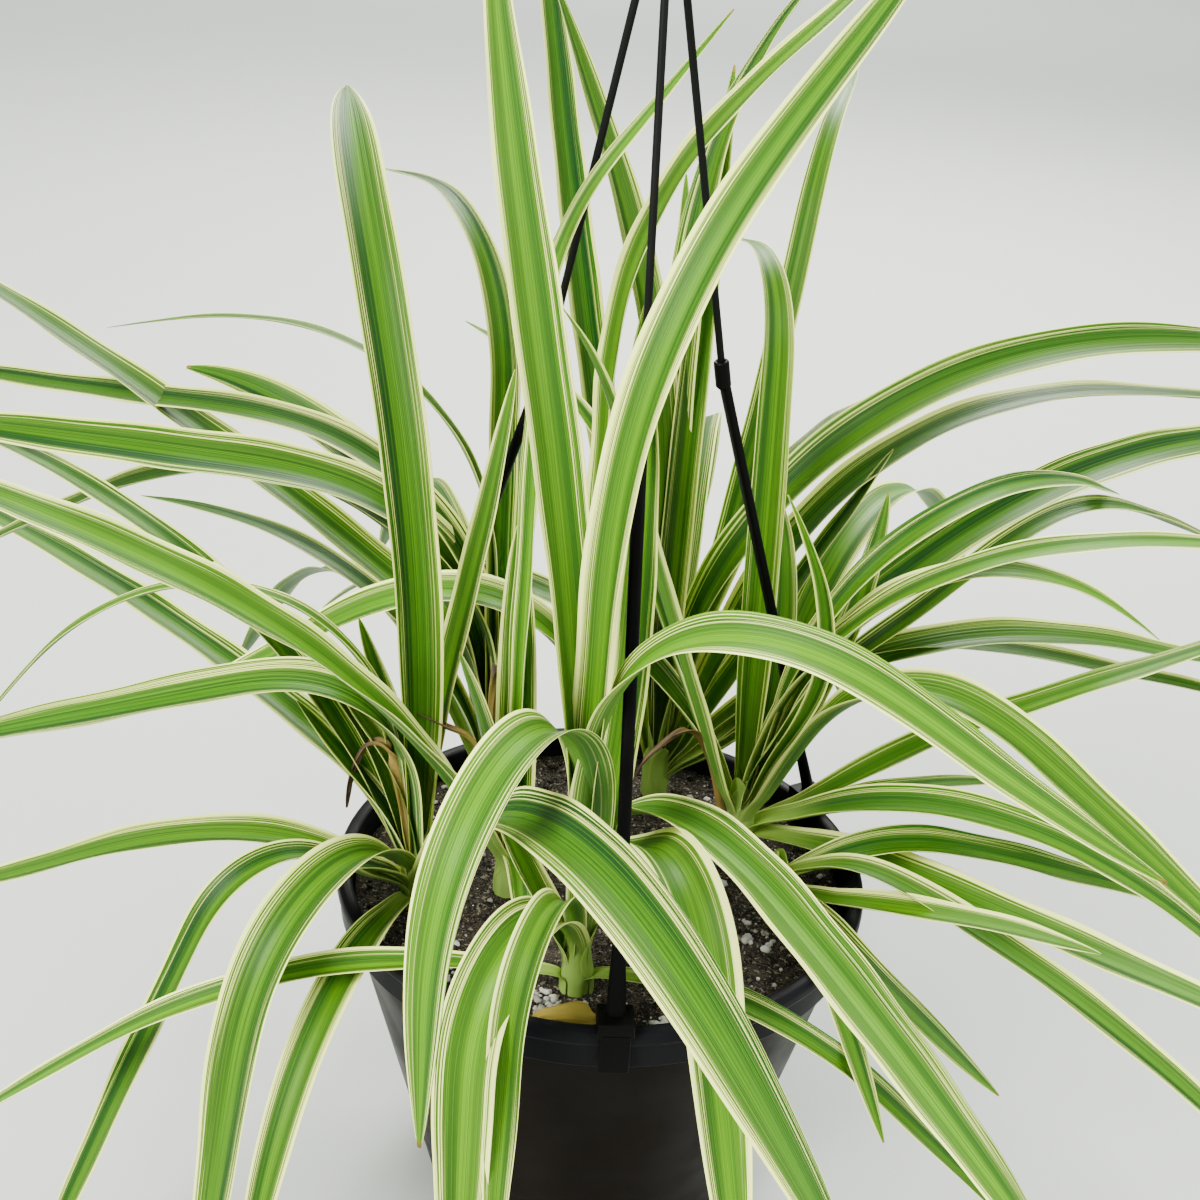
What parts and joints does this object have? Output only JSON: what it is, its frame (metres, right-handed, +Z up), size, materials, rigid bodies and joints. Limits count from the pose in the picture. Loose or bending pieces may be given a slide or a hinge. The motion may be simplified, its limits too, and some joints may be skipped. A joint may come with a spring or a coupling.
{
  "type": "potted spider plant",
  "caption": "Variegated spider plant with long arching striped leaves in a tapered round pot, with a three-armed clip-on hanger and hook.",
  "frame": {"origin": "centre of the flat underside of the pot", "axes": "+Z up along the pot's axis, -Y towards the front of the picture, +X to the right of the picture"},
  "size_m": [0.6357, 0.5731, 0.5291],
  "materials": {
    "pot_plastic": "satin black-brown",
    "hanger_plastic": "satin black",
    "soil": "rough and crumbly",
    "leaf": "soft satin sheen"
  },
  "bodies": {
    "root": {"pot": "pot_plastic", "soil": "soil", "hanger_arm_front": "hanger_plastic", "hanger_arm_right": "hanger_plastic", "hanger_arm_left": "hanger_plastic", "hanger_yoke": "hanger_plastic", "rosette_front": "leaf", "rosette_mid": "leaf", "rosette_centre": "leaf", "rosette_left": "leaf", "rosette_rear_left": "leaf", "rosette_right": "leaf", "rosette_right_front": "leaf", "rosette_rear_right": "leaf"}
  },
  "joints": []
}
